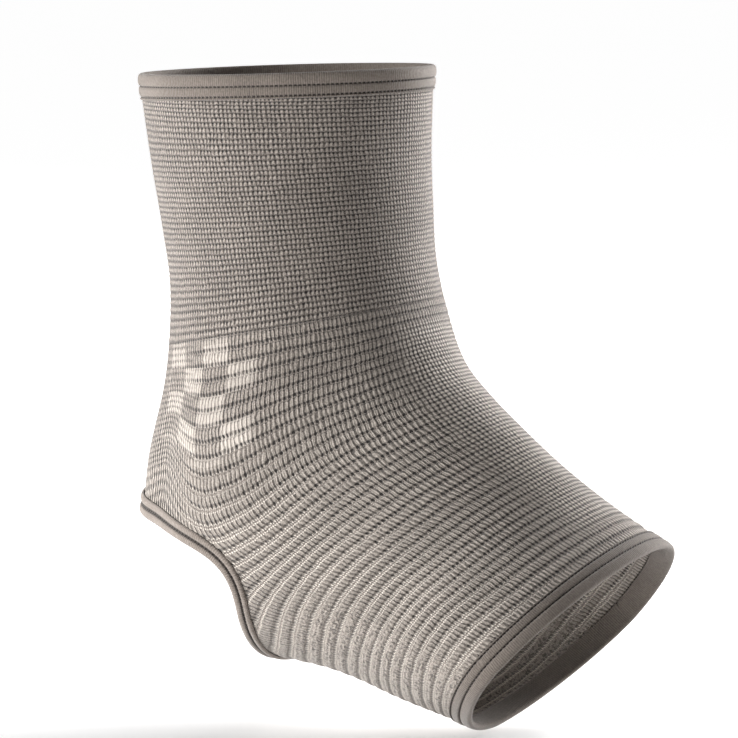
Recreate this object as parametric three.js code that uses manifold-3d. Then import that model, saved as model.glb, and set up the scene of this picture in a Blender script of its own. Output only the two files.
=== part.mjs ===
// A knitted compression brace for a right ankle, open at the toes and at the heel.
// Millimetres, +Z up, +X towards the toes, +Y towards the inner side of the leg.
// The origin is the centre of the ankle, between the two ankle bones, where the brace is worn.
//
// The knitted tube is drawn as a row of closed loops, one for each course of the knit: from the
// leg opening down, round the bend of the ankle and out to the forefoot. A place on the cloth has
// two shares: its course (0 at the leg opening, 1 at the forefoot opening) and its wale (0 down
// the back of the leg and along the sole, 0.5 down the shin and along the instep).

import * as THREE from 'three';
import Module from 'manifold-3d';

const { Vector3 } = THREE;

// Main sizes, from the centre of the ankle
const legRise = 102; // up to the leg opening
const soleDrop = 84; // down to the lowest point of the sole
const heelReach = 48; // back to the heel
const footReach = 110; // forward to the forefoot opening
const ankleWidth = 76; // across the ankle
const footWidth = 88; // across the forefoot

// Cloth
const wallThickness = 1.4; // knitted wall
const hemPly = 0.6; // one ply of a folded hem
const bindingPly = 0.8; // one ply of the fold round the heel opening
const clearance = 0.3; // between a fold and the wall inside it

// Folded edges
const topHemWidth = 5.4; // in from the edge of the wall that it holds
const topHemStitch = 1.9; // row of stitches, in from the same edge
const footHemWidth = 5.4;
const footHemStitch = 1.8;
const bindingWidth = 2.6;
const bindingStitch = 0.9;
const stitchDepth = 0.25; // groove that the stitches pull in

// Heel opening, an oval on the cloth in shares of the course and the wale, and how many times
// farther than the heel the body that cuts it reaches
const heelOpeningShares = { course: 0.668, courseReach: 0.102, waleReach: 0.206 };
const cutterTimes = 4;

// Faces
const sleeveRows = 32;
const sleeveColumns = 44;
const rimSteps = 48;

// Sections of the tube at even steps of the course. Each loop goes through a back point and a
// front point. Their X is a share of heelReach behind the ankle and of footReach before it, and
// their Z is a share of legRise above the ankle and of soleDrop below it. The side columns add up
// to the half width, as shares of half the ankle's width and half the foot's. widest is how far
// from back to front the loop is widest, the round columns are exponents (2 is an ellipse), and
// crest moves the instep's ridge inwards, as a share of the foot's width.
const alongFoot = (share) => share * (share > 0 ? footReach : heelReach);
const upLeg = (share) => share * (share > 0 ? legRise : soleDrop);
const sections = [
  // backX, backZ, frontX, frontZ, ankleSide, footSide, widest, backRound, frontRound, crest
  [-0.988, 0.985, 0.360, 1.020, 0.995, 0.00, 0.45, 2.00, 2.00, 0.000],
  [-0.972, 0.900, 0.353, 0.912, 0.995, 0.00, 0.48, 2.00, 2.00, 0.000],
  [-0.912, 0.722, 0.346, 0.768, 0.995, 0.00, 0.51, 2.00, 2.00, 0.000],
  [-0.850, 0.558, 0.350, 0.622, 0.980, 0.00, 0.53, 2.00, 2.00, 0.000],
  [-0.794, 0.370, 0.360, 0.476, 0.970, 0.00, 0.53, 2.00, 2.00, 0.000],
  [-0.838, 0.122, 0.395, 0.324, 0.990, 0.00, 0.54, 2.00, 2.00, 0.004],
  [-0.986, -0.210, 0.447, 0.203, 1.010, 0.00, 0.51, 2.00, 2.00, 0.012],
  [-0.985, -0.615, 0.525, 0.118, 1.005, 0.00, 0.48, 2.00, 2.00, 0.019],
  [-0.448, -0.780, 0.622, 0.025, 0.955, 0.00, 0.45, 2.00, 2.00, 0.034],
  [0.149, -0.836, 0.726, -0.094, 0.500, 0.41, 0.44, 1.92, 1.90, 0.067],
  [0.371, -0.911, 0.835, -0.210, 0.200, 0.76, 0.45, 1.82, 1.85, 0.102],
  [0.588, -0.980, 0.994, -0.343, 0.000, 0.99, 0.47, 1.70, 1.85, 0.120],
].map(([backX, backZ, frontX, frontZ, ankleSide, footSide, widest, backRound, frontRound, crest]) => ({
  backX: alongFoot(backX),
  backZ: upLeg(backZ),
  frontX: alongFoot(frontX),
  frontZ: upLeg(frontZ),
  halfWidth: ankleSide * ankleWidth / 2 + footSide * footWidth / 2,
  widest,
  backRound,
  frontRound,
  crest: crest * footWidth,
}));

// Swellings and hollows that the ankle gives the cloth: where, how far they spread in shares of
// the course and the wale, and their rise as a share of the half width.
const reliefs = [
  { name: 'outer ankle bone', course: 0.545, wale: 0.735, courseSpread: 0.060, waleSpread: 0.055, rise: 0.045 },
  { name: 'inner ankle bone', course: 0.520, wale: 0.275, courseSpread: 0.060, waleSpread: 0.055, rise: 0.045 },
  { name: 'outer tendon hollow', course: 0.535, wale: 0.860, courseSpread: 0.095, waleSpread: 0.036, rise: -0.085 },
  { name: 'inner tendon hollow', course: 0.535, wale: 0.140, courseSpread: 0.095, waleSpread: 0.036, rise: -0.085 },
];

// The sizes of the loop at a course, from the table by a smooth curve through its rows
function sectionAt(course) {
  const last = sections.length - 1;
  const place = course * last;
  const index = Math.min(Math.max(Math.floor(place), 0), last - 1);
  const t = place - index;
  const section = {};
  for (const name of Object.keys(sections[0])) {
    const value = (k) => {
      if (k < 0) return 2 * sections[0][name] - sections[1][name];
      if (k > last) return 2 * sections[last][name] - sections[last - 1][name];
      return sections[k][name];
    };
    const [p0, p1, p2, p3] = [value(index - 1), value(index), value(index + 1), value(index + 2)];
    const square = 2 * p0 - 5 * p1 + 4 * p2 - p3;
    const cube = -p0 + 3 * p1 - 3 * p2 + p3;
    section[name] = 0.5 * (2 * p1 + (p2 - p0) * t + square * t ** 2 + cube * t ** 3);
  }
  return section;
}

// How much wider the swellings and hollows make the loop at a place on the cloth
function reliefAt(course, wale) {
  let width = 1;
  for (const { course: c, wale: w, courseSpread, waleSpread, rise } of reliefs) {
    width += rise * Math.exp(-(((course - c) / courseSpread) ** 2) - ((wale - w) / waleSpread) ** 2);
  }
  return width;
}

// A place on the outer face of the cloth
function clothPoint(course, wale) {
  const section = sectionAt(course);
  const back = new Vector3(section.backX, 0, section.backZ);
  const front = new Vector3(section.frontX, 0, section.frontZ);
  const turn = wale - Math.floor(wale);
  const forward = Math.cos(2 * Math.PI * turn);
  const sideways = Math.sin(2 * Math.PI * turn);
  const power = 2 / (forward > 0 ? section.backRound : section.frontRound);
  const reach = Math.abs(forward) ** power;
  const across = Math.sign(sideways) * Math.abs(sideways) ** power;
  const depth = forward > 0
    ? section.widest * (1 - reach)
    : section.widest + (1 - section.widest) * reach;
  const point = back.lerp(front, depth);
  point.y = section.halfWidth * across * reliefAt(course, turn) + section.crest * depth ** 2;
  return point;
}

// The cloth's directions at a place: along the course's advance, along the wale's, and outwards
function clothFrame(course, wale) {
  const step = 1e-3;
  const slope = (a, b) => clothPoint(...b).sub(clothPoint(...a)).divideScalar(2 * step);
  const byCourse = slope([course - step, wale], [course + step, wale]);
  const byWale = slope([course, wale - step], [course, wale + step]);
  const outward = new Vector3().crossVectors(byWale, byCourse).normalize();
  return { byCourse, byWale, outward };
}

// A place that lies a distance over the outer face
function overCloth(course, wale, height) {
  return clothPoint(course, wale).addScaledVector(clothFrame(course, wale).outward, height);
}

// The share of the course that a length on the cloth takes, at one of the tube's ends
function courseShare(course, wale, length) {
  return length / clothFrame(course, wale).byCourse.length();
}

// How far a fold stands out past the edge that it holds
const foldReach = (ply) => wallThickness / 2 + clearance + ply;
const topEdge = (wale) => courseShare(0, wale, foldReach(hemPly));
const footEdge = (wale) => 1 - courseShare(1, wale, foldReach(hemPly));

// A closed body from points and triangles
function solid(points, triangles) {
  const geometry = new THREE.BufferGeometry().setFromPoints(points);
  geometry.setIndex(triangles.flat());
  return geometry;
}

// Two triangles for the four-sided face a, b, c, d
const face = (a, b, c, d) => [[a, b, c], [a, c, d]];

// The tube: an outer skin, an inner skin one wall inside it, and a rim at both ends
function tubeGeometry() {
  const points = [];
  for (const height of [0, -wallThickness]) {
    for (let row = 0; row <= sleeveRows; row += 1) {
      for (let column = 0; column < sleeveColumns; column += 1) {
        const wale = column / sleeveColumns;
        const course = THREE.MathUtils.lerp(topEdge(wale), footEdge(wale), row / sleeveRows);
        points.push(overCloth(course, wale, height));
      }
    }
  }
  const outer = (row, column) => row * sleeveColumns + (column % sleeveColumns);
  const inner = (row, column) => outer(row, column) + points.length / 2;
  const triangles = [];
  for (let column = 0; column < sleeveColumns; column += 1) {
    const next = column + 1;
    for (let row = 0; row < sleeveRows; row += 1) {
      const below = row + 1;
      triangles.push(...face(outer(row, column), outer(row, next), outer(below, next), outer(below, column)));
      triangles.push(...face(inner(row, column), inner(below, column), inner(below, next), inner(row, next)));
    }
    triangles.push(...face(outer(0, next), outer(0, column), inner(0, column), inner(0, next)));
    const end = sleeveRows;
    triangles.push(...face(outer(end, column), outer(end, next), inner(end, next), inner(end, column)));
  }
  return solid(points, triangles);
}

// The edge of the heel opening, from the back of the heel round the outer side to the sole and
// back round the inner side
function heelRim() {
  const { course, courseReach, waleReach } = heelOpeningShares;
  const rim = [];
  for (let k = 0; k < rimSteps; k += 1) {
    const turn = (2 * Math.PI * k) / rimSteps;
    rim.push([course - courseReach * Math.cos(turn), -waleReach * Math.sin(turn)]);
  }
  return rim;
}

// The body that cuts the heel opening: its sides cross the wall square to the cloth, and it
// closes to a point inside the ankle and to another far behind the heel
function heelCutter() {
  const rim = heelRim();
  const margin = 2 * wallThickness;
  const outside = rim.map(([course, wale]) => overCloth(course, wale, margin));
  const inside = rim.map(([course, wale]) => overCloth(course, wale, -wallThickness - margin));
  const behind = new Vector3(-heelReach, 0, -soleDrop).multiplyScalar(cutterTimes);
  const middle = new Vector3(0, 0, -soleDrop / 3);
  const points = [...outside, ...inside, behind, middle];
  const farPoint = 2 * rimSteps;
  const midPoint = farPoint + 1;
  const triangles = [];
  for (let k = 0; k < rimSteps; k += 1) {
    const next = (k + 1) % rimSteps;
    triangles.push(...face(k, next, next + rimSteps, k + rimSteps));
    triangles.push([next, k, farPoint]);
    triangles.push([k + rimSteps, next + rimSteps, midPoint]);
  }
  return solid(points, triangles);
}

// The tube with the cutter taken out of it
async function cutSleeve(tube, cutter) {
  const wasm = await Module();
  wasm.setup();
  const [body, tool] = [tube, cutter].map((geometry) => new wasm.Manifold(new wasm.Mesh({
    numProp: 3,
    vertProperties: geometry.attributes.position.array,
    triVerts: new Uint32Array(geometry.index.array),
  })));
  const mesh = body.subtract(tool).getMesh();
  const sleeve = new THREE.BufferGeometry();
  sleeve.setAttribute('position', new THREE.BufferAttribute(mesh.vertProperties, mesh.numProp));
  sleeve.setIndex(new THREE.BufferAttribute(mesh.triVerts, 1));
  return sleeve;
}

// The outline of a fold round the wall's edge: x is the distance in from the edge, y the height
// over the outer face. It runs along the outer ply, round the edge, along the inner ply and back
// through the slot that the wall sits in.
function foldOutline({ width, stitch, ply }) {
  const slot = clearance;
  const top = clearance + ply;
  const groove = 2 * stitchDepth;
  const outline = new THREE.Path();
  outline.moveTo(width, slot);
  outline.lineTo(width, top - stitchDepth);
  outline.lineTo(width - groove, top);
  outline.lineTo(stitch + groove, top);
  outline.lineTo(stitch, top - stitchDepth);
  outline.lineTo(stitch - groove, top);
  outline.absarc(0, -wallThickness / 2, foldReach(ply), Math.PI / 2, 1.5 * Math.PI, false);
  outline.lineTo(width / 2, -wallThickness - top);
  outline.lineTo(width, -wallThickness - top);
  outline.lineTo(width, -wallThickness - slot);
  outline.lineTo(width / 2, -wallThickness - slot);
  outline.absarc(0, -wallThickness / 2, foldReach(0), 1.5 * Math.PI, Math.PI / 2, true);
  outline.lineTo(width / 2, slot);
  const arcSteps = 2;
  return outline.getPoints(arcSteps);
}

// A folded strip of cloth along a closed edge of the wall. inward is 1 where the cloth lies on
// the left of the edge as it is followed, seen from outside, and -1 where it lies on the right.
function foldGeometry(edge, inward, outline) {
  const corners = edge.map(([course, wale]) => clothPoint(course, wale));
  const points = [];
  edge.forEach(([course, wale], k) => {
    const { byCourse, byWale, outward } = clothFrame(course, wale);
    const ahead = corners[(k + 1) % edge.length];
    const behind = corners[(k + edge.length - 1) % edge.length];
    const tangent = ahead.clone().sub(behind).normalize();
    const intoCloth = new Vector3().crossVectors(outward, tangent).multiplyScalar(inward);
    // Shares of the course and the wale that take one millimetre into the cloth
    const [cc, cw, ww] = [byCourse.dot(byCourse), byCourse.dot(byWale), byWale.dot(byWale)];
    const [c, w] = [byCourse.dot(intoCloth), byWale.dot(intoCloth)];
    const area = cc * ww - cw ** 2;
    const courseStep = (c * ww - w * cw) / area;
    const waleStep = (w * cc - c * cw) / area;
    for (const { x, y } of outline) {
      points.push(overCloth(course + courseStep * x, wale + waleStep * x, y));
    }
  });
  const count = outline.length;
  const triangles = [];
  for (let k = 0; k < edge.length; k += 1) {
    const next = (k + 1) % edge.length;
    for (let side = 0; side < count; side += 1) {
      const after = (side + 1) % count;
      const quad = [k * count + side, next * count + side, next * count + after, k * count + after];
      triangles.push(...face(...(inward > 0 ? quad.reverse() : quad)));
    }
  }
  return solid(points, triangles);
}

// The edge of the wall at one end of the tube, once round the wales
function endEdge(courseOf) {
  const edge = [];
  for (let column = 0; column < sleeveColumns; column += 1) {
    const wale = column / sleeveColumns;
    edge.push([courseOf(wale), wale]);
  }
  return edge;
}

function knitted(name, geometry, color, roughness) {
  const part = geometry.toNonIndexed();
  part.computeVertexNormals();
  const mesh = new THREE.Mesh(part, new THREE.MeshStandardMaterial({ color, roughness, metalness: 0 }));
  mesh.name = name;
  return mesh;
}

const sleeve = await cutSleeve(tubeGeometry(), heelCutter());
const topHem = foldGeometry(
  endEdge(topEdge),
  1,
  foldOutline({ width: topHemWidth, stitch: topHemStitch, ply: hemPly }),
);
const footHem = foldGeometry(
  endEdge(footEdge),
  -1,
  foldOutline({ width: footHemWidth, stitch: footHemStitch, ply: hemPly }),
);
const heelBinding = foldGeometry(
  heelRim(),
  1,
  foldOutline({ width: bindingWidth, stitch: bindingStitch, ply: bindingPly }),
);

const brace = new THREE.Group();
brace.add(
  knitted('knit_sleeve', sleeve, '#958b83', 0.9),
  knitted('top_hem', topHem, '#8b817a', 0.85),
  knitted('foot_hem', footHem, '#8b817a', 0.85),
  knitted('heel_binding', heelBinding, '#857b73', 0.85),
);

export default brace;
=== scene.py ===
# %% [markdown]
# # A knitted ankle brace
# This lesson dresses the plain solids of an ankle brace with its real knitting. The brace is one
# elastic tube, made on a round knitting machine, with a folded hem at each end and a bound
# opening at the heel. It keeps the stretched shape that it has when it is worn. Every length is
# in metres and every piece lies where the solids lie.

import math

import bmesh
import bpy
import numpy as np
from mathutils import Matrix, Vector


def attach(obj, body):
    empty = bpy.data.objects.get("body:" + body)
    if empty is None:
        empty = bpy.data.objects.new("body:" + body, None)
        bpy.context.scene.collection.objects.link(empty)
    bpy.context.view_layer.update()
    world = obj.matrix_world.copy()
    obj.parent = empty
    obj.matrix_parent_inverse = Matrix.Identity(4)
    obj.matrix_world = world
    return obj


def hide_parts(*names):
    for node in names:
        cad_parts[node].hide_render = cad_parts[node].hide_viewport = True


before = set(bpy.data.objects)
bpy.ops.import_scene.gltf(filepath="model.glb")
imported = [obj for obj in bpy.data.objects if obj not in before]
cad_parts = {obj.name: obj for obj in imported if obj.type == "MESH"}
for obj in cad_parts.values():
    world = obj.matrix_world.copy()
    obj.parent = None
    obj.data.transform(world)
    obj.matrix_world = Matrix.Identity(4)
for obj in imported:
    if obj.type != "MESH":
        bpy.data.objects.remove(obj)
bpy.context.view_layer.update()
MM = 0.001
print("solids:", sorted(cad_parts))

# %% [markdown]
# ## The cloth as a map
# A place on the cloth has two shares. The course share runs along the tube, from 0 at the leg
# opening to 1 at the forefoot opening. The wale share runs round it, from 0 at the back of the
# leg, over the inner side to 0.5 at the shin, and over the outer side back to 1. A knitter calls
# a row of stitches a course and a column of stitches a wale. The face could also be read off the
# mesh of the solids, but on a map each stitch has an address of its own. The table has a row for
# each loop of the tube, as the solids have it, so whatever is laid on the map lies on the solids.

# %% The table of loops
LEG_RISE = 102 * MM
SOLE_DROP = 84 * MM
HEEL_REACH = 48 * MM
FOOT_REACH = 110 * MM
ANKLE_WIDTH = 76 * MM
FOOT_WIDTH = 88 * MM
WALL = 1.4 * MM

# back x, back z, front x, front z, ankle side, foot side, widest, back round, front round, crest
LOOPS = np.array([
    [-0.988, 0.985, 0.360, 1.020, 0.995, 0.00, 0.45, 2.00, 2.00, 0.000],
    [-0.972, 0.900, 0.353, 0.912, 0.995, 0.00, 0.48, 2.00, 2.00, 0.000],
    [-0.912, 0.722, 0.346, 0.768, 0.995, 0.00, 0.51, 2.00, 2.00, 0.000],
    [-0.850, 0.558, 0.350, 0.622, 0.980, 0.00, 0.53, 2.00, 2.00, 0.000],
    [-0.794, 0.370, 0.360, 0.476, 0.970, 0.00, 0.53, 2.00, 2.00, 0.000],
    [-0.838, 0.122, 0.395, 0.324, 0.990, 0.00, 0.54, 2.00, 2.00, 0.004],
    [-0.986, -0.210, 0.447, 0.203, 1.010, 0.00, 0.51, 2.00, 2.00, 0.012],
    [-0.985, -0.615, 0.525, 0.118, 1.005, 0.00, 0.48, 2.00, 2.00, 0.019],
    [-0.448, -0.780, 0.622, 0.025, 0.955, 0.00, 0.45, 2.00, 2.00, 0.034],
    [0.149, -0.836, 0.726, -0.094, 0.500, 0.41, 0.44, 1.92, 1.90, 0.067],
    [0.371, -0.911, 0.835, -0.210, 0.200, 0.76, 0.45, 1.82, 1.85, 0.102],
    [0.588, -0.980, 0.994, -0.343, 0.000, 0.99, 0.47, 1.70, 1.85, 0.120],
])

# course, wale, spread along the course, spread along the wale, rise: two ankle bones, two hollows
RELIEFS = [
    (0.545, 0.735, 0.060, 0.055, 0.045),
    (0.520, 0.275, 0.060, 0.055, 0.045),
    (0.535, 0.860, 0.095, 0.036, -0.085),
    (0.535, 0.140, 0.095, 0.036, -0.085),
]


def loop_lengths():
    """The table with its shares turned into lengths."""
    along = np.where(LOOPS[:, [0, 2]] > 0, FOOT_REACH, HEEL_REACH) * LOOPS[:, [0, 2]]
    up = np.where(LOOPS[:, [1, 3]] > 0, LEG_RISE, SOLE_DROP) * LOOPS[:, [1, 3]]
    half = LOOPS[:, 4] * ANKLE_WIDTH / 2 + LOOPS[:, 5] * FOOT_WIDTH / 2
    return np.column_stack([along, up, half, LOOPS[:, 6:9], LOOPS[:, 9] * FOOT_WIDTH])


LENGTHS = loop_lengths()
print("loops in the table:", len(LENGTHS))

# %% A place on the outer face
MAP_STEP = 1e-3


def between(p0, p1, p2, p3, share):
    """Values on a smooth curve through four rows, at a share of the way from p1 to p2."""
    t = share[:, None]
    square = 2 * p0 - 5 * p1 + 4 * p2 - p3
    cube = -p0 + 3 * p1 - 3 * p2 + p3
    return 0.5 * (2 * p1 + (p2 - p0) * t + square * t**2 + cube * t**3)


def section_at(course):
    """The sizes of the loops at these courses, by a smooth curve through the table's rows."""
    last = len(LENGTHS) - 1
    rows = np.vstack([2 * LENGTHS[0] - LENGTHS[1], LENGTHS, 2 * LENGTHS[-1] - LENGTHS[-2]])
    index = np.clip(np.floor(course * last).astype(int), 0, last - 1)
    return between(*(rows[index + k] for k in range(4)), course * last - index).T


def cloth_point(course, wale):
    """Places on the outer face of the cloth."""
    sizes = section_at(course)
    back_x, front_x, back_z, front_z, half, widest, back_round, front_round, crest = sizes
    turn = wale - np.floor(wale)
    forward, sideways = np.cos(2 * np.pi * turn), np.sin(2 * np.pi * turn)
    power = 2 / np.where(forward > 0, back_round, front_round)
    reach = np.abs(forward) ** power
    across = np.sign(sideways) * np.abs(sideways) ** power
    depth = np.where(forward > 0, widest * (1 - reach), widest + (1 - widest) * reach)
    width = np.ones_like(turn)
    for at_course, at_wale, course_spread, wale_spread, rise in RELIEFS:
        away = ((course - at_course) / course_spread) ** 2 + ((turn - at_wale) / wale_spread) ** 2
        width += rise * np.exp(-away)
    x = back_x + (front_x - back_x) * depth
    z = back_z + (front_z - back_z) * depth
    return np.column_stack([x, half * across * width + crest * depth**2, z])


def cloth_frame(course, wale, step=MAP_STEP):
    """The cloth's directions: down the course, round the wale, and outwards."""
    down = (cloth_point(course + step, wale) - cloth_point(course - step, wale)) / (2 * step)
    around = (cloth_point(course, wale + step) - cloth_point(course, wale - step)) / (2 * step)
    outward = np.cross(around, down)
    return down, around, outward / np.linalg.norm(outward, axis=1)[:, None]


def over_cloth(course, wale, height):
    """Places at a height over the outer face."""
    return cloth_point(course, wale) + cloth_frame(course, wale)[2] * np.reshape(height, (-1, 1))


corner = cloth_point(np.array([0.0]), np.array([0.5]))[0]
print("top of the shin:", corner.round(4))

# %% [markdown]
# ## Even stitches
# The map's wale share is an angle, so its steps are not quite even on the cloth. Knitting is
# even: every stitch of a course is as wide as the next. The steps could be evened out for each
# place in turn, but a table is measured only once. It gives the wale share for an even share of
# the way round, for the inner and the outer half of each loop.

# %% Table of even wales
ROWS = 123
STITCHES = 196
EVEN_STEPS = 128


def even_wales():
    """For each course of the knit, the wale shares at even steps of the way round."""
    table = []
    half_way = np.linspace(0, 0.5, EVEN_STEPS // 2 + 1)
    for course in np.linspace(0, 1, ROWS + 1):
        wales = []
        for start in (0, 0.5):
            places = cloth_point(np.full(len(half_way), course), start + half_way)
            steps = np.linalg.norm(np.diff(places, axis=0), axis=1)
            run = np.concatenate([[0], np.cumsum(steps)])
            wales.append(np.interp(np.linspace(0, run[-1], len(run)), run, start + half_way))
        table.append(np.concatenate([wales[0], wales[1][1:]]))
    return np.array(table)


EVEN = even_wales()


def wale_at(course, share):
    """The wale share that lies this share of the way round."""
    row = np.clip(course, 0, 1) * ROWS
    column = np.clip(share, 0, 1) * EVEN_STEPS
    r = np.clip(row.astype(int), 0, ROWS - 1)
    c = np.clip(column.astype(int), 0, EVEN_STEPS - 1)
    fr, fc = row - r, column - c
    upper = EVEN[r, c] * (1 - fc) + EVEN[r, c + 1] * fc
    lower = EVEN[r + 1, c] * (1 - fc) + EVEN[r + 1, c + 1] * fc
    return upper * (1 - fr) + lower * fr


def smooth(low, high, value):
    """0 below low, 1 above high, and a smooth slope between them."""
    t = np.clip((value - low) / (high - low), 0, 1)
    return t * t * (3 - 2 * t)


print("stitches in a course:", STITCHES, "courses:", ROWS)

# %% [markdown]
# ## Shader sums as plain Python
# A knit pattern is arithmetic on two numbers: which stitch and which row. Writing it as Python
# sums keeps it readable. The class Value wraps one output of a node, and each sum on it adds a
# Math node. The class Finish holds a material, and its node method makes any other node.

# %% Value and Finish


class Value:
    """One number in a shader. Sums on it add Math nodes."""

    def __init__(self, finish, socket):
        self.finish, self.socket = finish, socket

    def math(self, operation, *others):
        return self.finish.sum(operation, self, *others)

    def __add__(self, other):
        return self.math("ADD", other)

    def __sub__(self, other):
        return self.math("SUBTRACT", other)

    def __mul__(self, other):
        return self.math("MULTIPLY", other)

    def __truediv__(self, other):
        return self.math("DIVIDE", other)

    def __rsub__(self, other):
        return self.finish.sum("SUBTRACT", other, self)

    __radd__ = __add__
    __rmul__ = __mul__

    def fract(self):
        return self.math("FRACT")

    def floor(self):
        return self.math("FLOOR")

    def wave(self):
        """1 at each half, 0 at each whole number."""
        return 0.5 - 0.5 * (self * math.tau).math("COSINE")

    def rise(self, low, high):
        """0 below low, 1 above high, and a smooth slope between them."""
        settings = {"interpolation_type": "SMOOTHSTEP"}
        node = self.finish.node("ShaderNodeMapRange", settings, {"Value": self, 1: low, 2: high})
        return Value(self.finish, node.outputs[0])

    def band(self, low, high, soft):
        """1 between low and high, with soft edges."""
        return self.rise(low - soft, low + soft) * (1 - self.rise(high - soft, high + soft))

    def near(self, centre, reach):
        """1 where the fraction is at the centre, falling to 0 at the reach on both sides."""
        away = ((self - centre + 0.5).fract() - 0.5).math("ABSOLUTE")
        return (1 - away / reach).math("MAXIMUM", 0.0)


class Finish:
    """A material with a Principled shader, and the nodes that feed it."""

    def __init__(self, name, **constants):
        self.material = bpy.data.materials.new(name)
        self.material.use_nodes = True
        self.tree = self.material.node_tree
        self.shader = self.tree.nodes["Principled BSDF"]
        for socket, value in constants.items():
            self.shader.inputs[socket.replace("_", " ")].default_value = value

    def node(self, kind, settings=None, inputs=None):
        """A new node: its settings first, then the values or links of its inputs."""
        node = self.tree.nodes.new(kind)
        for name, value in (settings or {}).items():
            setattr(node, name, value)
        for name, value in (inputs or {}).items():
            self.feed(node.inputs[name], value)
        return node

    def feed(self, socket, value):
        """Links or sets one input."""
        if isinstance(value, Value):
            value = value.socket
        if isinstance(value, bpy.types.NodeSocket):
            self.tree.links.new(value, socket)
        else:
            socket.default_value = value

    def number(self, node, output=0):
        return Value(self, node.outputs[output])

    def sum(self, operation, *parts):
        settings = {"operation": operation}
        return self.number(self.node("ShaderNodeMath", settings, dict(enumerate(parts))))

    def colour(self, share, low, high):
        """A mix of two colours."""
        mix = self.node("ShaderNodeMix", {"data_type": "RGBA"}, {0: share, 6: low, 7: high})
        return mix.outputs[2]

    def place(self):
        """The place in object space, in metres."""
        return self.node("ShaderNodeTexCoord").outputs["Object"]

    def noise(self, scale, detail=2.0):
        """Soft noise in object space."""
        inputs = {"Vector": self.place(), "Scale": scale, "Detail": detail}
        return self.number(self.node("ShaderNodeTexNoise", {}, inputs))

    def stitch_map(self):
        """The stitch number and the row number at this place on the cloth."""
        uv = self.node("ShaderNodeUVMap", {"uv_map": "stitches"})
        parts = self.node("ShaderNodeSeparateXYZ", {}, {0: uv.outputs[0]})
        return self.number(parts, 0), self.number(parts, 1)

    def chance(self, *numbers):
        """An even random number for each set of whole numbers."""
        place = self.node("ShaderNodeCombineXYZ", {}, dict(enumerate(numbers))).outputs[0]
        settings = {"noise_dimensions": "3D"}
        return self.number(self.node("ShaderNodeTexWhiteNoise", settings, {"Vector": place}))

    def bump(self, height, distance):
        """Feeds the shader's normal from a height."""
        inputs = {"Height": height, "Distance": distance, "Strength": 1.0}
        self.feed(self.shader.inputs["Normal"], self.node("ShaderNodeBump", {}, inputs).outputs[0])


def linear(red, green, blue):
    """A screen colour from 0 to 255 as the shader's linear colour."""
    parts = [c / 255 for c in (red, green, blue)]
    return (*(c / 12.92 if c <= 0.04045 else ((c + 0.055) / 1.055) ** 2.4 for c in parts), 1.0)


print("shader helpers are ready")

# %% [markdown]
# ## The yarns and the zones
# The brace is knitted from a taupe covered elastic and a paler cream yarn. The leg is a plain
# knit whose stitches all look alike. From the ankle down the cloth has ridges, which are paler
# towards the heel, and smoother and speckled on the sole. Over the tendon and down the middle of
# the instep it is a fine net. Each of its 24,000 stitches could be a loop of mesh, but that would
# be far too heavy. So the material draws them from the stitch and row numbers, and a mask for
# each zone says which knitting shows there.

# %% Yarn colours and the colour of painted shade
TAUPE = linear(166, 155, 146)
TAUPE_DEEP = linear(98, 90, 83)
# Not a yarn: the colour of painted shade in the knit's holes and grooves and along the hems' seams
SHADE_COLOUR = linear(38, 33, 30)
CREAM = linear(233, 223, 212)
print("stitches to draw:", STITCHES * ROWS)

# %% Zones of the knit
# Borders of the zones in rows, and in sides: 0 at the shin and instep, 1 at the back and sole
ZONE_ROW = 52
TENDON_SIDE, TENDON_END = (0.62, 0.70), (80, 88)
INSTEP_SIDE, INSTEP_START, INSTEP_END = (0.08, 0.18), (54, 60), (112, 118)
PALE_SIDE, PALE_START = (0.22, 0.50), (64, 80)
SOLE_SIDE, SOLE_START = (0.50, 0.64), (84, 98)


class Zones:
    """Where each kind of knitting lies, as masks from 0 to 1."""

    def __init__(self, stitch, row):
        side = (stitch / STITCHES - 0.5).math("ABSOLUTE") * 2
        self.foot = row.rise(ZONE_ROW - 0.01, ZONE_ROW + 0.01)
        self.tendon = side.rise(*TENDON_SIDE) * (1 - row.rise(*TENDON_END)) * self.foot
        self.instep = (1 - side.rise(*INSTEP_SIDE)) * row.rise(*INSTEP_START)
        self.instep = self.instep * (1 - row.rise(*INSTEP_END))
        self.pale = side.rise(*PALE_SIDE) * row.rise(*PALE_START)
        self.sole = side.rise(*SOLE_SIDE) * row.rise(*SOLE_START)
        self.ridged = self.foot * (1 - self.tendon) * (1 - self.instep * 0.75)
        self.paler = row.rise(ZONE_ROW + 4, ZONE_ROW + 24)


print("the foot's knitting starts at row", ZONE_ROW)

# %% [markdown]
# ## The plain knit
# A plain stitch shows as one round loop, with shade between its neighbours and the deepest shade
# at its corners, and the material paints that shade. A picture of knitting could be wrapped round
# the leg, but it would blur close up. Here two waves make the loop, one across the stitches and one
# along the rows. Each kind of knit gives three layers: how high it is, its painted shade, and the
# painted highlight on the tops of its loops.

# %% Plain knit


def plain_knit(pair, line, luck, zones):
    """The height, the painted shade and the painted highlight of the plain knit."""
    lines = line.rise(0.05, 0.7)
    loops = pair.rise(0.0, 0.75) * (lines + (1 - lines) * zones.tendon * 0.6)
    holes = (1 - pair).rise(0.25, 0.85) * (1 - line).rise(0.3, 0.85) * (0.5 + luck)
    # Painted shade between the loops and in the holes at their corners
    painted_shade = (1 - loops) * (0.50 + 0.16 * zones.tendon)
    painted_shade = painted_shade + holes * (0.48 + 0.2 * zones.instep + 0.2 * zones.tendon)
    # Painted highlight on the tops of the loops, strongest on the instep
    highlight = loops * (0.14 + 0.10 * zones.paler + 0.35 * zones.instep + luck * 0.08)
    return loops - holes * 0.4, painted_shade, highlight


print("plain knit from row 0 to row", ZONE_ROW)

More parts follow.
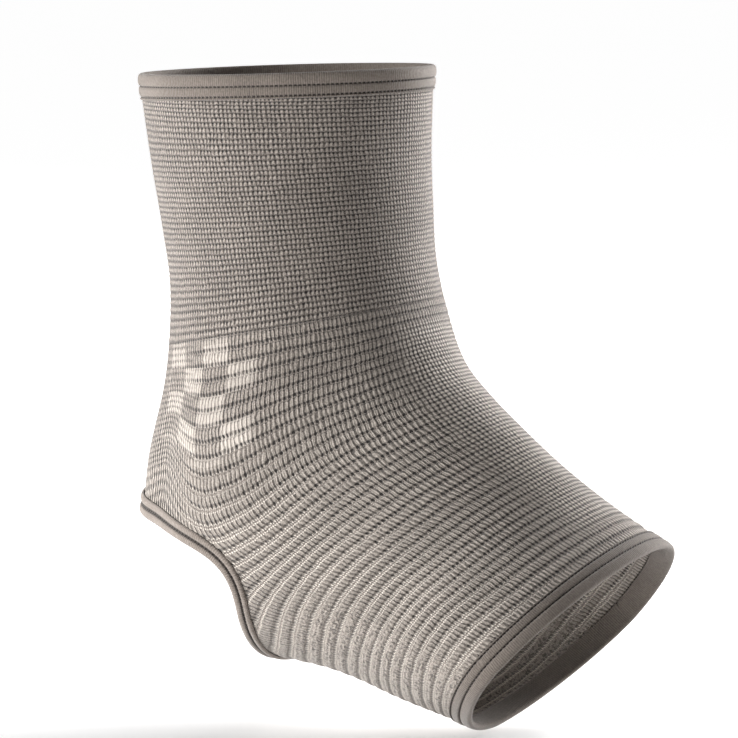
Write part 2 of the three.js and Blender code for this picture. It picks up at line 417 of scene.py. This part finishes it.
# %% [markdown]
# ## The ridged knit
# Every second row brings the cream yarn to the face. One ridge is a cream row of beads, a taupe
# band of blocks, each of two legs of yarn, and a row of small holes. Towards the heel a second
# row of beads follows the first, and on the sole the band is smooth, with fine specks and pits.
# The share of the way through a ridge says which of these shows, so that a ridge is always two
# rows high, however the rows bend.

# %% Ridged knit


def ridged_knit(finish, ridge, pair, legs, luck, zones):
    """The height, the painted shade, the painted highlight and the cream beads of the ridged knit.
    """
    pale, sole = zones.pale, zones.sole
    heel_side = pale * (1 - sole)
    beads = ridge.near(0.0, 0.13 + 0.04 * sole) + ridge.near(0.25, 0.10) * heel_side
    beads = beads.rise(0.1, 0.7) * legs.rise(0.0, 0.6)
    band = ridge.fract().band(0.16 + 0.14 * heel_side, 0.78, 0.08)
    blocks = band * (1 - (0.7 - 0.5 * sole) * (1 - pair.rise(0.05, 0.6)))

    # What lies deep, with painted shade in it: holes and their corners, gaps in the band, and the
    # sole's pits and specks
    holes = ridge.near(0.88, 0.14).rise(0.1, 0.7)
    corners = ridge.near(0.88, 0.22).rise(0.1, 0.6) + ridge.near(0.13, 0.09) * (1 - pale) * 0.7
    dots = corners * (1 - pair).rise(0.3, 0.8) * (0.6 + luck * 0.7) * (1 - 0.5 * sole)
    slits = band * (1 - pair).rise(0.5, 0.95)
    creases = band * (1 - legs).rise(0.5, 0.95)
    joints = ridge.near(0.125, 0.07) * (1 - legs).rise(0.2, 0.8) * heel_side
    pits = ridge.near(0.40, 0.12).rise(0.1, 0.8) * legs.rise(0.6, 1.0)
    pits = pits + ridge.near(0.64, 0.12).rise(0.1, 0.8) * (1 - legs).rise(0.6, 1.0)
    specks = finish.noise(1200.0, 0.0).rise(0.50, 0.66) * band
    pits = (pits * (0.3 + luck) + specks * 0.7) * sole

    height = beads * 0.8 + blocks * (0.7 + 0.3 * legs) * (1 - 0.4 * sole)
    height = height - dots * 0.7 - pits * 0.6
    # Painted shade in the holes, dots, joints, pits, slits and creases, and the first rows of the
    # foot a little darker overall
    painted_shade = holes * (0.32 - 0.16 * pale + 0.30 * sole) + dots * (0.95 - 0.45 * pale)
    painted_shade = painted_shade + joints * 0.6 + pits * 0.75 + (1 - zones.paler) * 0.08
    painted_shade = painted_shade + slits * (0.55 - 0.45 * sole) + creases * (0.18 - 0.15 * sole)
    # Painted highlight on the tops of the blocks
    highlight = blocks * (0.12 + 0.10 * zones.paler - 0.1 * pale + luck * 0.08)
    return height, painted_shade, highlight, beads


print("ridges from the ankle to the forefoot:", (ROWS - ZONE_ROW) // 2)

# %% [markdown]
# ## The patch
# On the outer side of the ankle a group of blocks is knitted in cream. Changing the yarn for
# whole stitches is how a knitting machine draws, so each block covers whole stitches and rows.

# %% Patch of cream blocks
# Its first stitch and row, a block's stitches and rows, and the numbers of blocks
PATCH = {"stitch": 142, "row": 52, "across": 8, "down": 4, "columns": 4, "rows": 4}


def cream_patch(stitch, row):
    """1 on the cream blocks of the chequer, 0 elsewhere."""
    across = (stitch.floor() - PATCH["stitch"]) / PATCH["across"]
    down = (row.floor() - PATCH["row"]) / PATCH["down"]
    chequer = ((across.floor() + down.floor()) / 2).fract().rise(0.2, 0.3)
    inside = across.band(0, PATCH["columns"], 0.001) * down.band(0, PATCH["rows"], 0.001)
    return chequer * inside


print("blocks in the patch:", PATCH["columns"] * PATCH["rows"])

# %% [markdown]
# ## The whole knit
# Real yarn never lies quite straight and never takes the dye quite evenly. Soft noise bends the
# waves a little, and finer noise makes the yarn uneven. The zones' masks then mix the layers of
# the two knits into one height and one colour, so that the cloth has no seam between them.

# %% Knit finish


def knit_finish():
    """The material of the tube: its waves, its layers and its colours."""
    finish = Finish(
        "knit", Roughness=0.92, Sheen_Weight=0.2, Sheen_Roughness=0.6, Specular_IOR_Level=0.2
    )
    stitch, row = finish.stitch_map()
    zones = Zones(stitch, row)
    wander = finish.noise(300.0) - 0.5
    cloudy = finish.noise(55.0, 3.0)
    yarn = finish.noise(2200.0)
    luck = finish.chance((stitch + 0.5).floor(), row.floor())

    # Waves across the stitches, along the rows and through the ridges
    pair = (stitch + row * 0.04 + wander * 1.1).wave()
    legs = ((stitch + wander * 0.6) * 2).wave()
    line = (row + wander * 0.4 + pair * 0.22).wave()
    ridge = (row + wander * 0.4) / 2 + pair * 0.04 + legs * zones.sole * 0.06

    plain_layers = plain_knit(pair, line, luck, zones)
    *ridged_layers, beads = ridged_knit(finish, ridge, pair, legs, luck, zones)
    height, painted_shade, highlight = (
        plain * (1 - zones.ridged) + ridged * zones.ridged
        for plain, ridged in zip(plain_layers, ridged_layers)
    )
    finish.bump(height + yarn * 0.5, 0.36 * MM)

    # Colours: the yarn, then what is paler, with the painted highlight, then the painted shade,
    # which noise makes uneven
    yarn_share = cloudy.rise(0.3, 0.7) * 0.2 + yarn.rise(0.35, 0.65) * 0.8
    base = finish.colour(yarn_share, TAUPE_DEEP, TAUPE)
    cream = zones.ridged * (beads * (0.16 + 0.78 * zones.pale) + zones.sole * 0.02)
    patch = cream_patch(stitch, row)
    # Painted light: the instep's share makes it paler where it faces the light from above, and
    # highlight is the painted highlight
    pale_share = zones.paler * 0.08 + zones.instep * 0.06 + cream + highlight + patch * 0.34
    pale_share = pale_share.math("MAXIMUM", 0.0).math("MINIMUM", 1.0)
    lit = finish.colour(pale_share, base, CREAM)
    uneven = 0.6 + finish.noise(900.0) * 0.8
    # Painted shade, mixed towards the shade colour
    shade_share = (painted_shade * uneven * (1.0 - 0.3 * patch)).math("MINIMUM", 1.0)
    finish.feed(finish.shader.inputs["Base Color"], finish.colour(shade_share, lit, SHADE_COLOUR))
    return finish


knit = knit_finish()
print("nodes in the knit:", len(knit.tree.nodes))

# %% [markdown]
# ## The knitted tube
# The real tube is knitted in the round. Here a flat grid of faces is rolled up: each corner of
# the grid has a share of the way round and a row, and it moves to that place on the map. A copy
# of the solids' mesh could carry the finish too, but only a grid has rows that follow the
# courses, so that the ridges are real relief and not only shading. The leg and the foot are two
# grids that meet in the groove of one row.

# %% Rows that bend round the heel
# The middle of the heel opening and its reach each way, in shares of the map
HEEL = {"course": 0.668, "course_reach": 0.102, "wale_reach": 0.206}

# row, and in rows: climb to the tendon, dip beside it, drop towards the sole, lead on the instep
BENDS = np.array([
    [52, 0.0, 0.0, 0.0, 0.0],
    [58, -1.1, 0.4, 0.0, -0.8],
    [66, -3.8, 1.2, 0.0, -1.1],
    [74, -7.0, 1.9, 0.0, 0.0],
    [78, -7.8, 2.1, 1.0, 0.4],
    [82, -3.0, 2.0, 3.0, 0.6],
    [86, 0.0, 1.4, 4.0, 0.6],
    [90, 0.0, 0.8, 5.0, 0.6],
    [98, 0.0, 0.0, 3.6, 0.8],
    [106, 0.0, -0.5, 3.2, 0.9],
    [114, 0.0, -0.7, 2.3, 0.6],
    [118, 0.0, -0.4, 0.9, 0.2],
    [121, 0.0, 0.0, 0.0, 0.0],
])

# Relief of the plain rows, of the net over the tendon and of the ridges
PLAIN_RELIEF = 0.14 * MM
NET_RELIEF = 0.06 * MM
RIDGE_RELIEF = 0.30 * MM

# The share of a ridge's two rows that rises, and where the relief dies out under a fold, in rows
RIDGE_SHARE = 0.9
FOLD_ROWS = (4, 6)


def course_of(row, share):
    """The course share of a row, which climbs to the tendon and drops round the heel."""
    side = np.abs(share - 0.5) * 2
    climb, dip, drop, lead = (np.interp(row, BENDS[:, 0], BENDS[:, k]) for k in range(1, 5))
    bend = climb * smooth(0.57, 0.76, side) + drop * smooth(0.45, 0.82, side)
    bend += dip * np.exp(-(((side - 0.5) / 0.13) ** 2)) + lead * (1 - smooth(0.05, 0.28, side))
    return (row + bend) / ROWS


def ridge_height(row, share):
    """The relief of the knit over the solid's face, which dies out under the folds."""
    side = np.abs(share - 0.5) * 2
    foot = smooth(ZONE_ROW, ZONE_ROW + 2, row)
    tendon = smooth(*TENDON_SIDE, side) * (1 - smooth(*TENDON_END, row))
    instep = (1 - smooth(*INSTEP_SIDE, side)) * (1 - smooth(*INSTEP_END, row))
    single = 0.5 - 0.5 * np.cos(2 * np.pi * row)
    phase = (row / 2 - np.floor(row / 2)) / RIDGE_SHARE
    double = np.sin(np.pi * np.clip(phase, 0, 1)) ** 0.6
    ridged = foot * (1 - tendon) * (1 - 0.7 * instep)
    plain = PLAIN_RELIEF - (PLAIN_RELIEF - NET_RELIEF) * tendon * foot
    free = smooth(*FOLD_ROWS, np.minimum(row, ROWS - row))
    return free * (plain * single * (1 - ridged) + RIDGE_RELIEF * double * ridged)


print("the rows climb by up to", -BENDS[:, 1].min(), "rows towards the tendon")

# %% A sheet of faces laid on the cloth
GRID_COLUMNS = 220


def laid_grid(name, columns, rows, place):
    """A grid whose corners go to place(across, down), both from 0 to 1, joined to itself."""
    mesh = bpy.data.meshes.new(name)
    bm = bmesh.new()
    bm.loops.layers.uv.new("stitches")
    bmesh.ops.create_grid(bm, x_segments=columns, y_segments=rows, size=0.5, calc_uvs=True)
    share = np.array([(v.co.x + 0.5, v.co.y + 0.5) for v in bm.verts])
    for vertex, co in zip(bm.verts, place(share[:, 0], share[:, 1])):
        vertex.co = co
    bmesh.ops.remove_doubles(bm, verts=bm.verts, dist=1e-6)
    bm.to_mesh(mesh)
    bm.free()
    piece = bpy.data.objects.new(name, mesh)
    bpy.context.collection.objects.link(piece)
    return piece


def scale_uv(piece, across, down, start=0.0):
    """Stretches the grid's own map so that it counts stitches and rows."""
    layer = piece.data.uv_layers["stitches"].uv
    uv = np.empty(len(layer) * 2, dtype=np.float32)
    layer.foreach_get("vector", uv)
    uv = uv.reshape(-1, 2) * (across, down) + (0, start)
    layer.foreach_set("vector", uv.astype(np.float32).ravel())


def finish_piece(piece, finish, slot, *nodes):
    """Smooth shading, a material, a parent empty for the body, and the solids it replaces hidden.
    """
    piece.data.materials.append(finish.material)
    piece.data.polygons.foreach_set("use_smooth", [True] * len(piece.data.polygons))
    piece.data.update()
    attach(piece, "root")
    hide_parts(*nodes)
    print(piece.name, "faces:", len(piece.data.polygons))


print("grids are", GRID_COLUMNS, "faces round")

# %% Parts of the tube
STEPS_PER_ROW = {"leg": 4, "foot": 3}
EDGE_ROWS = 1.0

# The wall has this share of its thickness at the ends, and all of it past these rows
THIN_ROWS = (5, 9)
THIN_SHARE = 0.35


def in_heel(course, wale):
    """How far into the heel opening a place lies: above 0 inside, below 0 outside."""
    side = np.minimum(wale, 1 - wale) / HEEL["wale_reach"]
    along = (course - HEEL["course"]) / HEEL["course_reach"]
    return 1 - side**2 - along**2


def knit_part(name, first, last, steps):
    """A stretch of the tube from one row to another."""
    rows = round((last - first) * steps)

    def place(across, down):
        row = first + (last - first) * down
        course = course_of(row, across)
        return over_cloth(course, wale_at(course, across), ridge_height(row, across))

    piece = laid_grid(name, GRID_COLUMNS, rows, place)
    scale_uv(piece, STITCHES, last - first, first)
    return piece


def open_heel(piece):
    """Takes out the faces inside the heel opening."""
    bm = bmesh.new()
    bm.from_mesh(piece.data)
    layer = bm.loops.layers.uv["stitches"]
    inside = []
    for face in bm.faces:
        centre = sum((loop[layer].uv for loop in face.loops), Vector((0, 0))) / len(face.loops)
        across, row = np.array([centre.x / STITCHES]), np.array([centre.y])
        course = course_of(row, across)
        if in_heel(course, wale_at(course, across))[0] > 0:
            inside.append(face)
    bmesh.ops.delete(bm, geom=inside, context="FACES")
    bm.to_mesh(piece.data)
    bm.free()
    print("faces taken out:", len(inside))


def thicken(piece, thickness):
    """A wall inside the outer face, thinner where a hem is folded over it."""
    layer = piece.data.uv_layers["stitches"].uv
    group = piece.vertex_groups.new(name="thickness")
    rows = {loop.vertex_index: layer[loop.index].vector.y for loop in piece.data.loops}
    for vertex, row in rows.items():
        group.add([vertex], float(smooth(*THIN_ROWS, min(row, ROWS - row))), "REPLACE")
    solidify = piece.modifiers.new("wall", "SOLIDIFY")
    solidify.vertex_group = group.name
    solidify.thickness_vertex_group = THIN_SHARE
    solidify.thickness = thickness
    solidify.offset = -1
    solidify.use_rim = True


print("rows under each hem's edge that are left out:", EDGE_ROWS)

# %% Leg and foot of the tube
leg = knit_part("knit_leg", EDGE_ROWS, ZONE_ROW, STEPS_PER_ROW["leg"])
foot = knit_part("knit_foot", ZONE_ROW, ROWS - EDGE_ROWS, STEPS_PER_ROW["foot"])
open_heel(foot)
for part in (leg, foot):
    finish_piece(part, knit, "knit", "knit_sleeve")
    thicken(part, WALL)

# %% [markdown]
# ## Folded edges
# The hems are the ends of the tube, folded over and sewn down with two rows of stitches, and the
# heel opening has a soft strip folded round its edge. A fold is a closed outline, like a long
# letter U lying on its side, that is drawn along the edge of the wall. The stitches pull a groove
# into it, a little deeper at each needle hole. A curve with a bevel could follow the edge, but it
# couldn't lean on the cloth or have needle holes. A grid that is rolled up both ways can.

# %% Edges of the wall
# The wall ends this far inside each end of the brace, so that the fold reaches round it
HEM_REACH = 1.6 * MM

# A wider step on the map, for smoother directions along an edge
WIDE_STEP = 3e-3

# The length of a sewn stitch, and the number of steps for measuring an edge
STITCH_PITCH = 1.3 * MM
EDGE_STEPS = 720


def top_edge(along):
    """The courses and wales of the wall's upper end, at shares of the way round."""
    start = np.zeros_like(along)
    down = np.linalg.norm(cloth_frame(start, along)[0], axis=1)
    return HEM_REACH / down, along


def foot_edge(along):
    """The same for the end of the foot."""
    end = np.ones_like(along)
    down = np.linalg.norm(cloth_frame(end, along)[0], axis=1)
    return 1 - HEM_REACH / down, along


def heel_edge(along):
    """The same for the heel opening, an ellipse on the map."""
    turn = 2 * np.pi * along
    return HEEL["course"] - HEEL["course_reach"] * np.cos(turn), -HEEL["wale_reach"] * np.sin(turn)


def from_edge(edge, side, along, distance, height):
    """Places at a distance from an edge into the cloth, and at a height over it."""
    course, wale = edge(along)
    down, around, outward = cloth_frame(course, wale, WIDE_STEP)
    tangent = cloth_point(*edge(along + MAP_STEP)) - cloth_point(*edge(along - MAP_STEP))
    tangent /= np.linalg.norm(tangent, axis=1)[:, None]
    into = side * np.cross(outward, tangent)
    dd, da, aa = ((a * b).sum(axis=1) for a, b in ((down, down), (down, around), (around, around)))
    d, a = (down * into).sum(axis=1), (around * into).sum(axis=1)
    area = dd * aa - da**2
    course = course + distance * (d * aa - a * da) / area
    wale = wale + distance * (a * dd - d * da) / area
    return over_cloth(course, wale, height)


def edge_length(edge):
    """The length of a closed edge."""
    places = cloth_point(*edge(np.linspace(0, 1, EDGE_STEPS + 1)))
    return np.linalg.norm(np.diff(places, axis=0), axis=1).sum()


for edge in (top_edge, foot_edge, heel_edge):
    print(edge.__name__, "length:", round(edge_length(edge), 4))

# %% Even places along an edge


def even_along(edge):
    """A function from an even share of the edge's length to the share that the edge takes."""
    fine = np.linspace(0, 1, 2 * EDGE_STEPS + 1)
    places = cloth_point(*edge(fine))
    run = np.concatenate([[0], np.cumsum(np.linalg.norm(np.diff(places, axis=0), axis=1))])
    return lambda share: np.interp(share, run / run[-1], fine)


print("a quarter of the way round the heel opening:", round(float(even_along(heel_edge)(0.25)), 4))

# %% Outlines of the folds
# distance from the wall's edge and height over its face, in millimetres, once round the fold
HEM_OUTLINE = [
    (5.15, 0.08), (5.36, 0.28), (5.28, 0.52), (5.02, 0.60), (4.70, 0.16), (4.36, 0.60),
    (3.60, 0.74), (2.80, 0.74), (2.22, 0.58), (1.90, 0.12), (1.58, 0.60), (0.95, 0.78),
    (0.20, 0.78), (-0.60, 0.68), (-1.25, 0.38), (-1.58, -0.22), (-1.48, -0.76), (-1.00, -1.16),
    (0.30, -1.28), (2.60, -1.24), (5.00, -1.16), (5.25, -0.90), (5.05, -0.62), (2.60, -0.60),
    (0.10, -0.60), (-0.70, -0.50), (-0.98, -0.22), (-0.70, 0.02), (0.10, 0.08), (2.60, 0.08),
]
BINDING_OUTLINE = [
    (2.95, 0.10), (3.18, 0.42), (3.00, 0.88), (2.45, 1.10), (1.75, 0.98), (1.10, 0.34),
    (0.52, 1.00), (-0.30, 1.16), (-1.02, 0.93), (-1.58, 0.35), (-1.80, -0.60), (-1.60, -1.50),
    (-0.95, -2.15), (0.30, -2.40), (2.50, -2.36), (2.92, -2.00), (2.60, -1.54), (1.00, -1.52),
    (-0.50, -1.35), (-0.98, -0.70), (-0.50, 0.00), (1.00, 0.10),
]


def smooth_outline(outline, share):
    """Places on a smooth closed curve through an outline's points."""
    points = np.array(outline) * MM
    place = share * len(points)
    index = np.floor(place).astype(int)
    around = (points[(index + k) % len(points)] for k in (-1, 0, 1, 2))
    return between(*around, place - index)


for outline in (HEM_OUTLINE, BINDING_OUTLINE):
    widths = smooth_outline(outline, np.linspace(0, 1, 101))[:, 0]
    print("fold is", round((widths.max() - widths.min()) / MM, 1), "mm wide")

# %% A fold along an edge
FOLD_COLUMNS = 480
STEPS_PER_POINT = 2

# How wide the groove's needle holes are, and how much deeper than the groove
GROOVE_REACH = 0.35 * MM
NEEDLE_DIP = 0.12 * MM


def fold(name, edge, side, outline, lines, widen=0.0):
    """A folded strip along an edge, with grooves at its lines of stitches. It is wider by the
    share widen where the edge starts."""
    even = even_along(edge)
    count = round(edge_length(edge) / STITCH_PITCH)

    def place(across, down):
        distance, height = smooth_outline(outline, down).T
        for line in lines:
            near = np.exp(-(((distance - line) / GROOVE_REACH) ** 2)) * (height > 0)
            height = height - NEEDLE_DIP * near * np.cos(2 * np.pi * count * across)
        start = (0.5 + 0.5 * np.cos(2 * np.pi * across)) ** 3
        distance = np.where(distance > 0, distance * (1 + widen * start), distance)
        return from_edge(edge, side, even(across), distance, height)

    piece = laid_grid(name, FOLD_COLUMNS, STEPS_PER_POINT * len(outline), place)
    scale_uv(piece, count, len(outline))
    return piece


print("stitches round the top hem:", round(edge_length(top_edge) / STITCH_PITCH))

# %% [markdown]
# ## The finish of the folds
# The folds are a finer, darker and denser knit than the tube, sewn with a thread that dips into
# the cloth at each needle hole. The thread could be a piece of its own, but it is thinner than half
# a millimetre, so the material draws its seam as a groove with painted shade, darkest at each
# needle hole. The fold's own map counts the sewn stitches along the edge and the points of the
# outline across it.

# %% Hem finish
HEM_TAUPE = linear(128, 119, 111)
HEM_DEEP = linear(92, 84, 78)
BINDING_TAUPE = linear(158, 147, 139)
BINDING_DEEP = linear(116, 107, 99)


def hem_finish(name, light, deep, needles, gap):
    """Fine knit on a fold, sewn at the needles' points of its outline, with painted shade in the
    seams' grooves. The gap is how far that painted shade fades between two needle holes."""
    finish = Finish(
        name, Roughness=0.9, Sheen_Weight=0.25, Sheen_Roughness=0.5, Specular_IOR_Level=0.2
    )
    stitch, place = finish.stitch_map()
    wander = finish.noise(300.0)
    legs = (stitch * 2 + wander * 0.6).wave()
    grain = finish.noise(1600.0, 3.0)
    cloudy = finish.noise(60.0)
    dash = (1 - stitch.wave()).rise(0.15, 0.6)
    line = sum(place.band(at - 0.8, at + 0.8, 0.3) for at in needles)
    # The seams' grooves, darkest at the needle holes: a dip in the bump and painted shade in the
    # colour
    seam_and_shade = line * (0.95 - gap * (1 - dash))
    finish.bump(legs * 0.6 + grain * 0.8 - seam_and_shade * 1.5, 0.15 * MM)
    # The legs' part of the share is painted shade between the legs of yarn; cloud and grain are the
    # yarn's uneven tone
    share = cloudy.rise(0.3, 0.7) * 0.2 + legs * 0.4 + grain.rise(0.3, 0.7) * 0.4
    plain = finish.colour(share, deep, light)
    finish.feed(finish.shader.inputs["Base Color"], finish.colour(seam_and_shade, plain, SHADE_COLOUR))
    return finish


hem = hem_finish("hem", HEM_TAUPE, HEM_DEEP, (4.0, 9.0), 0.7)
binding = hem_finish("binding", BINDING_TAUPE, BINDING_DEEP, (0.0, 5.0), 0.15)
print("nodes in each fold's finish:", len(hem.tree.nodes), len(binding.tree.nodes))

# %% Hems and heel binding
HEM_LINES = (1.90 * MM, 4.70 * MM)
BINDING_LINES = (1.10 * MM,)
BINDING_WIDEN = 0.5

top_hem = fold("hem_top", top_edge, 1, HEM_OUTLINE, HEM_LINES)
foot_hem = fold("hem_foot", foot_edge, -1, HEM_OUTLINE, HEM_LINES)
heel_binding = fold("binding_heel", heel_edge, 1, BINDING_OUTLINE, BINDING_LINES, BINDING_WIDEN)
finish_piece(top_hem, hem, "hem", "top_hem")
finish_piece(foot_hem, hem, "hem", "foot_hem")
finish_piece(heel_binding, binding, "binding", "heel_binding")

# %% [markdown]
# ## The size of the cloth
# The cloth was knitted to a smaller size than it has here, where it is held stretched. Measuring
# the meshes would give the stretched size, so the flat size is stated. The brace lies flat about
# 95 mm wide before it is worn, so its cloth is 190 mm round. The lengths are those of the worn
# tube, because it is stretched mostly round the leg and the foot.

# %% [markdown]
# ## Camera and light
# A long lens from the outer side, a little above the ankle. Large soft lights stand at the left
# and behind the brace at both sides, so that its edges are bright and its middle stays calm and
# dark. They graze the cloth, which brings out its ridges. The pale floor shines a little by itself
# where it is far away, so that it stays white up to the horizon.

# %% Camera
AZIMUTH, ELEVATION = math.radians(29.69), math.radians(7.64)
DISTANCE = 1038.27 * MM
TARGET = Vector((22.86, 0, 17.23)) * MM
FOCAL_PIXELS, IMAGE_PIXELS = 3627.47, 738

back = Vector((
    math.sin(AZIMUTH) * math.cos(ELEVATION),
    -math.cos(AZIMUTH) * math.cos(ELEVATION),
    math.sin(ELEVATION),
))
camera_data = bpy.data.cameras.new("camera")
camera_data.sensor_width = 36
camera_data.lens = FOCAL_PIXELS / IMAGE_PIXELS * camera_data.sensor_width
camera = bpy.data.objects.new("camera", camera_data)
camera.location = TARGET + DISTANCE * back
camera.rotation_euler = (-back).to_track_quat("-Z", "Y").to_euler()
bpy.context.collection.objects.link(camera)
bpy.context.scene.camera = camera
print("camera at", [round(c, 3) for c in camera.location])

# %% Floor
FLOOR_HEIGHT = -85.5 * MM
FLOOR_REACH = 6.0

# How far from the middle the floor starts to shine, and where it shines in full
GLOW_START, GLOW_FULL = 0.1, 1.1

floor_finish = Finish("floor", Roughness=0.9, Emission_Strength=0.95)
floor_inputs = floor_finish.shader.inputs
far = floor_finish.node("ShaderNodeVectorMath", {"operation": "LENGTH"}, {0: floor_finish.place()})
glow = floor_finish.number(far, "Value").rise(GLOW_START, GLOW_FULL)
paints = linear(246, 246, 246), linear(250, 250, 250)
floor_finish.feed(floor_inputs["Base Color"], floor_finish.colour(floor_finish.noise(3.0), *paints))
floor_glow = floor_finish.colour(glow, (0, 0, 0, 1), (1, 1, 1, 1))
floor_finish.feed(floor_inputs["Emission Color"], floor_glow)

floor_mesh = bpy.data.meshes.new("floor")
bm = bmesh.new()
bmesh.ops.create_grid(bm, x_segments=1, y_segments=1, size=FLOOR_REACH)
bmesh.ops.translate(bm, verts=bm.verts, vec=(0, 0, FLOOR_HEIGHT))
bm.to_mesh(floor_mesh)
bm.free()
floor = bpy.data.objects.new("floor", floor_mesh)
floor_mesh.materials.append(floor_finish.material)
bpy.context.collection.objects.link(floor)
print("floor at", FLOOR_HEIGHT)

# %% Lights
LIGHT_AIM = Vector((20, 0, 10)) * MM
left_way = Vector((-math.cos(AZIMUTH), -math.sin(AZIMUTH), 0))
up_way = Vector((0, 0, 1))

# name, way from the target, size in metres and power in watts
LIGHTS = [
    ("left light", left_way * 0.9 + back * 0.2 + up_way * 0.05, 0.7, 12),
    ("left back light", left_way * 0.9 - back * 0.45 + up_way * 0.2, 0.7, 8),
    ("right back light", left_way * -0.75 - back * 0.65 + up_way * 0.45, 0.7, 32),
    ("low left light", left_way * 0.8 + back * 0.5 - up_way * 0.02, 0.5, 5),
]


def soft_light(name, place, size, power):
    """A square soft light that looks at the brace."""
    data = bpy.data.lights.new(name, "AREA")
    data.size = size
    data.energy = power
    light = bpy.data.objects.new(name, data)
    light.location = place
    light.rotation_euler = (LIGHT_AIM - place).to_track_quat("-Z", "Y").to_euler()
    bpy.context.collection.objects.link(light)


for name, way, size, power in LIGHTS:
    soft_light(name, TARGET + way, size, power)
print("lights:", len(LIGHTS), "with", sum(light[3] for light in LIGHTS), "watts")

# %% Sky
# A white sky behind everything, which lights the brace with only this share of its white
SKY_SHARE = 0.04

world = bpy.data.worlds.new("studio")
world.use_nodes = True
sky = world.node_tree.nodes["Background"]
sky.inputs[0].default_value = (1, 1, 1, 1)
rays = world.node_tree.nodes.new("ShaderNodeLightPath")
white = world.node_tree.nodes.new("ShaderNodeMapRange")
white.inputs["To Min"].default_value = SKY_SHARE
world.node_tree.links.new(rays.outputs["Is Camera Ray"], white.inputs["Value"])
world.node_tree.links.new(white.outputs[0], sky.inputs[1])
bpy.context.scene.world = world
bpy.context.scene.view_settings.view_transform = "Standard"
print("share of the sky that lights the brace:", SKY_SHARE)
